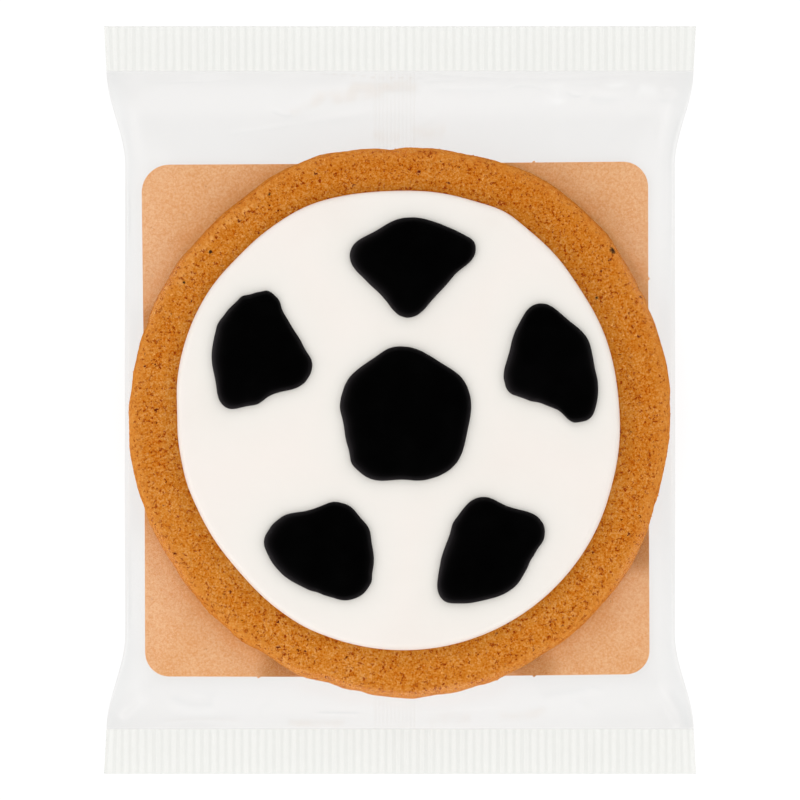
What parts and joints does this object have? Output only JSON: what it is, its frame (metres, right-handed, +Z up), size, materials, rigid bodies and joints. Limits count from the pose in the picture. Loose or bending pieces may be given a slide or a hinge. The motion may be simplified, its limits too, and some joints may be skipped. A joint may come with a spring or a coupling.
{
  "type": "iced gingerbread biscuit in a clear film pack",
  "caption": "Round gingerbread biscuit with white icing and raised black football patches, on a plain kraft card, sealed in a clear film sleeve with crimped ends.",
  "frame": {"origin": "middle of the pack on the surface that it lies on", "axes": "+Z up through the iced face, +Y along the pack towards the crimp beside the single black patch at the top, +X to the right of the design"},
  "size_m": [0.1314, 0.1658, 0.0102],
  "materials": {
    "film": "clear glossy packing film",
    "card": "matt kraft card with fine fibres",
    "biscuit": "baked gingerbread, matt and finely pored",
    "white_icing": "smooth satin white icing",
    "black_icing": "smooth glossy black icing"
  },
  "bodies": {
    "root": {"film_wrap": "film", "backing_card": "card", "gingerbread": "biscuit", "white_icing": "white_icing", "black_patch_centre": "black_icing", "black_patch_top": "black_icing", "black_patch_upper_left": "black_icing", "black_patch_upper_right": "black_icing", "black_patch_lower_left": "black_icing", "black_patch_lower_right": "black_icing"}
  },
  "joints": []
}
